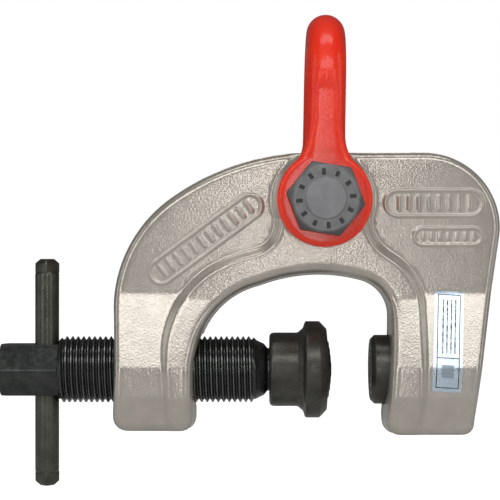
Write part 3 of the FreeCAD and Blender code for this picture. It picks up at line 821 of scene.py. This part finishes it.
def build_swivel(steel):
    """Turned cup with a flange and ring teeth, a groove for the snap ring and a hollow for the ball."""
    mouth, groove, groove_half = 9.2, 10.3, 2.75
    teeth = [(-15.8, 14.7, 0.3), (-16.9, 13.4, 0.2), (-15.6, 12.2, 0.2), (-16.3, 11.0, 0.2),
             (-15.0, 10.0, 0.2), (-15.8, 8.8, 0.2), (-14.6, 7.7, 0.2), (-15.5, 6.4, 0.2),
             (-14.3, 5.2, 0.2), (-15.2, 4.0, 0.2), (-14.1, 2.8, 0.3)]
    outside = [(-36.6, mouth + 0.5, 0.2), (-36.6, 13.35, 1.9), (-26.4, 13.35, 1.2), (-24.4, 15.0, 2.0),
               (-23.6, 17.5, 0.9), (-18.5, 17.5, 0.7)] + teeth + [(-14.1, 0)]
    inside = [(-24.0, 0), (-27.2, 4.2), (-27.2, mouth, 0.4), (RING_X + groove_half, mouth),
              (RING_X + groove_half, groove), (RING_X - groove_half, groove),
              (RING_X - groove_half, mouth), (-36.2, mouth, 0.1)]
    piece = new_object("swivel_pad", *lathe(rounded(outside + inside, 4), "X", closed=True),
                       "jaw_pad", "swivel_jaw", "jaw_steel", 30)
    paint(piece, steel)


def build_fixed_jaw(steel):
    """Turned pad with four ring grooves in its face, on a stem that sits in the frame."""
    pad_radius, groove_half, groove_depth = 12.5, 0.7, 0.8
    profile = [(0, 0)]
    for radius in (2.4, 4.8, 7.2, 9.6):
        profile += [(0, radius - groove_half, 0.1), (groove_depth, radius, 0.1),
                    (0, radius + groove_half, 0.1)]
    back = SEAT_FLOOR - 0.05
    profile += [(0, pad_radius - 1.5, 0.3), (1.5, pad_radius, 0.5), (back, pad_radius, 0.2),
                (back, STEM_RADIUS), (STEM_END, STEM_RADIUS, 0.6), (STEM_END, 0)]
    piece = new_object("fixed_pad", *lathe(rounded(profile, 3), "X"), "clamp_frame", "fixed_jaw",
                       "jaw_steel", 30)
    paint(piece, steel)


def neck_half_width(height):
    """Half width of the neck at a height over the bolt: hollow arcs that meet the eye and the bar."""
    flare = 22.5
    hollow = (flare ** 2 + BOW_RADIUS ** 2 - EYE_RADIUS ** 2) / 2 / (EYE_RADIUS - BOW_RADIUS)
    meeting = flare - hollow * math.sin(math.atan2(flare, BOW_RADIUS + hollow))
    drop = flare - min(max(height, meeting), flare)
    return BOW_RADIUS + hollow - math.sqrt(hollow ** 2 - drop ** 2)


def bow_section(y, z, out, count):
    """Ring of points round the bar: round at the crown, flat outside on the legs, square at the eye."""
    square_until, round_after = BOLT_Z + 13.0, BOLT_Z + 30.0
    grown = eased(min(max((z - square_until) / (round_after - square_until), 0.0), 1.0))
    eye_half, eye_middle = (EYE_OUTER - EYE_INNER) / 2, (EYE_OUTER + EYE_INNER) / 2
    half = eye_half + (BOW_RADIUS - eye_half) * grown
    shift = -math.copysign(1.0 - grown, y) * (BOW_HALF - eye_middle)
    power = 2.0 / (5.0 - 3.0 * grown)
    width = neck_half_width(z - BOLT_Z)
    straight_part = min(max((BOW_CROWN - BOW_HALF + 1.0 - z) / 4.0, 0.0), 1.0)
    cut = half * (1 - 0.16 * grown * straight_part)
    outward = math.copysign(1.0, out[1] * y) if abs(out[1]) > 0.5 else 0.0
    ring = []
    for k in range(count):
        angle = 2 * math.pi * k / count
        across = math.copysign(abs(math.cos(angle)) ** power, math.cos(angle)) * width
        reach = math.copysign(abs(math.sin(angle)) ** power, math.sin(angle)) * half
        if reach * outward > cut:
            reach = outward * cut
        ring.append(tuple(Vector((BOLT_X + across, y + shift, z)) + out * reach))
    return ring


def build_shackle(enamel):
    """Bow, legs and eyes as rough solids, then fused and smoothed into one forging."""
    spring_line, foot = BOW_CROWN - BOW_HALF, BOLT_Z + 8.5
    leg = np.linspace(foot, spring_line - 0.8, 60)
    bends = 48
    path = [(-BOW_HALF, z) for z in leg]
    for k in range(bends + 1):
        angle = math.pi * k / bends
        path.append((-BOW_HALF * math.cos(angle), spring_line + BOW_HALF * math.sin(angle)))
    path += [(BOW_HALF, z) for z in leg[::-1]]
    verts = []
    count = 72
    for i, (y, z) in enumerate(path):
        before, after = path[max(i - 1, 0)], path[min(i + 1, len(path) - 1)]
        along = Vector((0, after[0] - before[0], after[1] - before[1])).normalized()
        verts += bow_section(y, z, along.cross(Vector((1, 0, 0))), count)
    parts = [(verts, stacked(len(path), count))]
    reach, edge = EYE_RADIUS + 0.15, 1.8
    for low, high in ((-EYE_OUTER, -EYE_INNER), (EYE_INNER, EYE_OUTER)):
        eye = rounded([(low, 0), (low, reach, edge), (high, reach, edge), (high, 0)], 5)
        parts.append(lathe(eye, "Y", (BOLT_X, 0, BOLT_Z), 96))
    piece = new_object("forged_bow", *merge(*parts))
    fused = piece.modifiers.new("fuse", "REMESH")
    fused.mode = "VOXEL"
    fused.voxel_size = 0.00042
    smooth = piece.modifiers.new("smooth", "SMOOTH")
    smooth.factor = 0.5
    smooth.iterations = 12
    apply_modifiers(piece)
    hole = [(-40, 0), (-40, BOLT_RADIUS), (40, BOLT_RADIUS), (40, 0)]
    carve(piece, [lathe(hole, "Y", (BOLT_X, 0, BOLT_Z))])
    pivot = Vector((BOLT_X, 0, BOLT_Z)) * MM
    lean = Matrix.Rotation(math.radians(BOW_LEAN), 4, "Y")
    piece.data.transform(Matrix.Translation(pivot) @ lean @ Matrix.Translation(-pivot))
    shade(piece, 50)
    adopt(piece, "bow", "shackle")
    paint(piece, enamel)


def head_tick(angle, length):
    """Low bar with sloping sides, pointing outwards on the bolt's head."""
    middle, half_width = 9.3, 0.55
    verts = []
    for rise, grow in ((0.0, 0.14), (0.5, 0.0), (0.6, -0.12)):
        for u, v in ((-1, -1), (1, -1), (1, 1), (-1, 1)):
            across, out = u * (half_width + grow), middle + v * (length / 2 + grow)
            verts.append((out * math.cos(angle) - across * math.sin(angle),
                          out * math.sin(angle) + across * math.cos(angle), HEAD_HEIGHT + rise))
    return verts, stacked(3, 4)


def build_bolt(steel):
    """Hexagon bolt with a raised disc and a ring of twelve plain ticks on its head."""
    head = hexagon_head(BOLT_FLATS, HEAD_HEIGHT, 11.3, -9.4)
    disc, top = 6.8, HEAD_HEIGHT + 0.5
    relief = [lathe(rounded([(HEAD_HEIGHT - 0.4, 0), (HEAD_HEIGHT - 0.4, 11.5), (9.35, 11.45, 0.1),
                             (9.6, 11.2, 0.12), (9.55, disc + 0.6, 0.2), (top, disc, 0.2),
                             (top, 0)], 4), "Z", segments=96)]
    for k in range(12):
        relief.append(head_tick(math.radians(30 * k + 5), 1.8 if k % 3 else 2.1))
    head = merge(head, *relief)
    face = Matrix(((1, 0, 0, BOLT_X), (0, 0, -1, -EYE_OUTER), (0, 1, 0, BOLT_Z), (0, 0, 0, 1)))
    radius, thread_start, bolt_end = BOLT_RADIUS - 0.05, 38.0, 46.0
    shank = lathe(rounded([(-EYE_OUTER - 1, 0), (-EYE_OUTER - 1, radius), (thread_start, radius),
                           (thread_start, 0)], 2), "Y", (BOLT_X, 0, BOLT_Z), 96)
    end = threaded(thread_start, bolt_end, radius, 2.0, 1.1, 0.2, 1.5, 96)
    end = turned(end, Matrix(((0, 1, 0, BOLT_X), (1, 0, 0, 0), (0, 0, 1, BOLT_Z), (0, 0, 0, 1))))
    core = lathe([(thread_start - 1, 0), (thread_start - 1, 6.7), (bolt_end, 6.5), (bolt_end, 0)],
                 "Y", (BOLT_X, 0, BOLT_Z), 64)
    piece = new_object("shackle_bolt_m16", *merge(turned(head, face), shank, end, core), "bow",
                       "shackle_bolt", "bolt_steel", 28)
    paint(piece, steel)


def build_nut(steel):
    nut = hexagon_head(BOLT_FLATS, 13.0, 11.75, 22, corner=0.6, hole=BOLT_RADIUS)
    seat = Matrix(((1, 0, 0, BOLT_X), (0, 0, 1, WASHER_END), (0, -1, 0, BOLT_Z), (0, 0, 0, 1)))
    piece = new_object("shackle_nut_m16", *turned(nut, seat), "bow", "shackle_nut", "bolt_steel", 28)
    paint(piece, steel)


def build_washer(steel):
    hole, radius = BOLT_RADIUS + 0.05, 15.0
    profile = rounded([(EYE_OUTER, hole, 0.2), (EYE_OUTER, radius, 0.35),
                       (WASHER_END, radius, 0.35), (WASHER_END, hole, 0.2)], 4)
    piece = new_object("plain_washer", *lathe(profile, "Y", (BOLT_X, 0, BOLT_Z), closed=True), "bow",
                       "shackle_washer", "bright_steel")
    paint(piece, steel)


def build_small_cad_parts(steel):
    """Paint for the small pieces whose CAD shape is right already."""
    for name in ("split_pin", "thrust_ball", "snap_ring", "fixed_jaw_pin"):
        paint(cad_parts[name], steel)


# -------------------- label
LABEL_WIDTH, LABEL_LENGTH, LABEL_TILT = 10.4, 35.5, 3.2
LABEL_MIDDLE = (27.0, 10.8)


def build_label():
    """Foil that follows the web's tilted facet and the flat below it."""
    across, down = 14, 80
    tilt = math.radians(LABEL_TILT)
    verts, shares = [], []
    for lift in (0.02, 0.17):
        for i in range(down + 1):
            for j in range(across + 1):
                u = (j / across - 0.5) * LABEL_WIDTH
                v = (0.5 - i / down) * LABEL_LENGTH
                x = LABEL_MIDDLE[0] + u * math.cos(tilt) + v * math.sin(tilt)
                z = LABEL_MIDDLE[1] - u * math.sin(tilt) + v * math.cos(tilt)
                height = side_height(np.array([z]), WEB_HALF, LEG_WEB_HALF, WEB_TOP)[0]
                verts.append((x, -height - lift, z))
                shares.append((j / across, i / down))
    row = across + 1
    layer_size = row * (down + 1)
    corners = [i * row + j for i in range(down) for j in range(across)]
    faces = [(a + base, a + base + 1, a + base + row + 1, a + base + row)
             for base in (0, layer_size) for a in corners]
    rim = list(range(row)) + [i * row + across for i in range(1, down + 1)]
    rim += [down * row + j for j in reversed(range(across))]
    rim += [i * row for i in reversed(range(1, down))]
    for a, b in zip(rim, rim[1:] + rim[:1]):
        faces.append((a, b, b + layer_size, a + layer_size))
    piece = new_object("foil_label", verts, faces, "clamp_frame", "label", "label_foil", 60)
    layer = piece.data.uv_layers.new(name="label")
    for loop in piece.data.loops:
        layer.data[loop.index].uv = shares[loop.vertex_index]
    paint(piece, label_foil())


def label_foil():
    """Silvery foil with a thin printed border, a divider and plain grey bars."""
    made, tree, shader = material("label_foil")
    u, v, _ = split_axes(tree, tree.nodes.new("ShaderNodeTexCoord").outputs["UV"])
    across = maths(tree, "MULTIPLY", u, LABEL_WIDTH)
    down = maths(tree, "MULTIPLY", v, LABEL_LENGTH)

    def inside(value, low, high):
        return maths(tree, "MULTIPLY", maths(tree, "GREATER_THAN", value, low),
                     maths(tree, "LESS_THAN", value, high))

    def rectangle(left, right, top, bottom):
        return maths(tree, "MULTIPLY", inside(across, left, right), inside(down, top, bottom))

    line, margin, divider_at = 0.34, 1.1, 23.4
    left, right, top, bottom = margin, LABEL_WIDTH - margin, margin, LABEL_LENGTH - 1.3
    border = maths(tree, "SUBTRACT", rectangle(left, right, top, bottom),
                   rectangle(left + line, right - line, top + line, bottom - line))
    divider = rectangle(left, right, divider_at, divider_at + line)
    ink = maths(tree, "MAXIMUM", border, divider)
    bar_gap, inked_share = 1.45, 0.38
    bar_phase = maths(tree, "FRACT", maths(tree, "DIVIDE", across, bar_gap))
    bars = maths(tree, "MULTIPLY", rectangle(2.2, LABEL_WIDTH - 2.2, 3.0, 22.0),
                 maths(tree, "LESS_THAN", bar_phase, inked_share))
    broken = noise(tree, 900, 2, 0.5)
    bars = maths(tree, "MULTIPLY", bars, spread(tree, broken, 0.25, 1.0, 0.42, 0.58))
    block = maths(tree, "MULTIPLY", rectangle(3.0, 7.4, 26.0, 30.5), 0.45)
    ink = maths(tree, "MAXIMUM", ink, maths(tree, "MAXIMUM", bars, block))
    tree.links.new(ramp(tree, ink, [(0.0, (0.52, 0.61, 0.70)), (1.0, (0.02, 0.02, 0.02))]),
                   shader.inputs["Base Color"])
    tree.links.new(spread(tree, noise(tree, 400, 2, 0.5), 0.2, 0.3), shader.inputs["Roughness"])
    tree.links.new(spread(tree, ink, 0.92, 0.0, 0.0, 0.6), shader.inputs["Metallic"])
    bumps(tree, shader, [(noise(tree, 150, 2, 0.5), 0.08, 0.0004)])
    return made


# -------------------- stage, lights and camera
def area_light(name, place, aim, width, height, power):
    """Soft white light panel that faces a point, in metres and watts."""
    data = bpy.data.lights.new(name, "AREA")
    data.shape = "RECTANGLE"
    data.size = width
    data.size_y = height
    data.energy = power
    light = bpy.data.objects.new(name, data)
    bpy.context.scene.collection.objects.link(light)
    light.location = place
    light.rotation_euler = (Vector(aim) - Vector(place)).to_track_quat("-Z", "Y").to_euler()


def build_world():
    """A dim grey room, lighter in front and overhead, that the camera itself sees as white."""
    world = bpy.data.worlds.new("studio")
    world.use_nodes = True
    tree = world.node_tree
    background = tree.nodes["Background"]
    backdrop = node(tree, "ShaderNodeBackground", Color=(1, 1, 1, 1), Strength=1.0)
    direction = tree.nodes.new("ShaderNodeTexCoord").outputs["Generated"]
    _, depth, height = split_axes(tree, direction)
    front_to_back = ((0.0, 0.24), (0.12, 0.19), (0.4, 0.07), (0.8, 0.06), (1.0, 0.10))
    colour = ramp(tree, spread(tree, depth, 0, 1, -1, 1),
                  [(position, (grey, grey, grey)) for position, grey in front_to_back])
    overhead = spread(tree, height, 0.0, 0.1, 0.55, 1.0)
    brighter = node(tree, "ShaderNodeMix", data_type="RGBA", blend_type="ADD", Factor=1.0)
    tree.links.new(colour, brighter.inputs["A"])
    tree.links.new(overhead, brighter.inputs["B"])
    tree.links.new(brighter.outputs["Result"], background.inputs["Color"])
    background.inputs["Strength"].default_value = 1.0
    mix = tree.nodes.new("ShaderNodeMixShader")
    rays = tree.nodes.new("ShaderNodeLightPath")
    tree.links.new(rays.outputs["Is Camera Ray"], mix.inputs[0])
    tree.links.new(background.outputs[0], mix.inputs[1])
    tree.links.new(backdrop.outputs[0], mix.inputs[2])
    tree.links.new(mix.outputs[0], tree.nodes["World Output"].inputs["Surface"])
    bpy.context.scene.world = world


def build_floor():
    """Wide pale floor, which the camera sees as white."""
    mesh = bpy.data.meshes.new("floor")
    reach, gap_below = 6.0, 0.03
    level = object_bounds()[0][2] - gap_below
    mesh.from_pydata([(-reach, -reach, level), (reach, -reach, level), (reach, reach, level),
                      (-reach, reach, level)], [], [(0, 1, 2, 3)])
    floor = bpy.data.objects.new("floor", mesh)
    bpy.context.scene.collection.objects.link(floor)
    made, tree, shader = material("floor_white")
    tree.links.new(ramp(tree, noise(tree, 3, 2), [(0.3, (0.54, 0.54, 0.54)), (0.7, (0.56, 0.56, 0.56))]),
                   shader.inputs["Base Color"])
    shader.inputs["Roughness"].default_value = 0.9
    shader.inputs["Emission Color"].default_value = (1, 1, 1, 1)
    rays = tree.nodes.new("ShaderNodeLightPath")
    tree.links.new(spread(tree, rays.outputs["Is Camera Ray"], 0.16, 1.0, 0.0, 1.0),
                   shader.inputs["Emission Strength"])
    paint(floor, made)


def build_lights():
    screw, middle = (-0.045, 0, 0.03), (-0.05, 0, 0.04)
    area_light("key_above", (-0.045, -0.72, 0.57), screw, 1.3, 0.25, 3.25)
    area_light("overhead", (-0.045, -0.2, 1.0), screw, 0.9, 0.25, 1.9)
    area_light("front_strip", (0.0, -1.0, 0.08), (-0.02, 0, 0.06), 0.05, 0.6, 0.7)
    area_light("left_front", (-0.72, -0.75, 0.2), middle, 0.2, 0.5, 0.9)
    area_light("right_front", (0.63, -0.75, 0.2), middle, 0.2, 0.5, 0.7)
    area_light("left", (-1.0, -0.1, 0.25), middle, 0.3, 0.9, 0.8)
    area_light("right", (0.95, -0.1, 0.25), middle, 0.3, 0.9, 0.8)


def build_camera():
    """Level camera straight in front. The view has the given width at the middle plane, Y = 0."""
    data = bpy.data.cameras.new("camera")
    distance = 0.635
    view_width = 181.82 * MM
    data.sensor_width = 36
    data.lens = data.sensor_width * distance / view_width
    camera = bpy.data.objects.new("camera", data)
    bpy.context.scene.collection.objects.link(camera)
    camera.location = (-43.6 * MM, -distance, 43.35 * MM)
    camera.rotation_euler = Euler((math.pi / 2, 0, 0))
    bpy.context.scene.camera = camera


build_frame()
build_screw(screw_oxide())
build_bar(oxide("bar_steel", (0.062, 0.064, 0.050), (0.110, 0.114, 0.092), 0.30))
jaw_steel = oxide("jaw_steel", (0.050, 0.049, 0.042), (0.098, 0.097, 0.084), 0.33)
build_swivel(jaw_steel)
build_fixed_jaw(jaw_steel)
build_shackle(shackle_paint())
build_bolt(bolt_oxide())
build_nut(bolt_grey("nut_steel"))
build_washer(bright_steel("washer_steel", 0.5))
build_small_cad_parts(bright_steel())
build_label()
build_world()
build_floor()
build_camera()
build_lights()
bpy.context.scene.view_settings.view_transform = "Standard"
